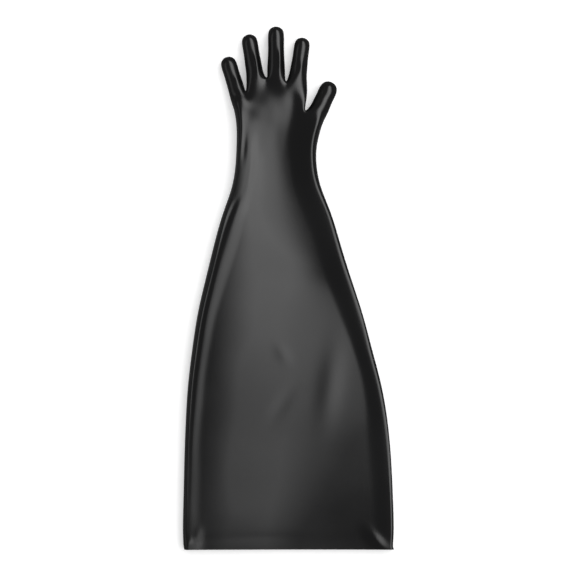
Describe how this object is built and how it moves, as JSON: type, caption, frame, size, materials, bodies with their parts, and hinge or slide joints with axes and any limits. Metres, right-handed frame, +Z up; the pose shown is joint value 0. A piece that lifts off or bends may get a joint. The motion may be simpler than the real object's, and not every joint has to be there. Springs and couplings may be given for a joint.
{
  "type": "isolator glove",
  "caption": "Long black rubber glovebox glove: a five-fingered hand on a flared sleeve that ends in an open plain-cut cuff, lying flat.",
  "frame": {"origin": "middle of the glove's outline, on the surface that it lies on", "axes": "+Y along the glove from the cuff to the fingertips, +Z up, +X towards the thumb"},
  "size_m": [0.328, 0.813, 0.036],
  "materials": {
    "black_rubber": "satin dipped rubber"
  },
  "bodies": {
    "root": {"glove": "black_rubber"}
  },
  "joints": []
}
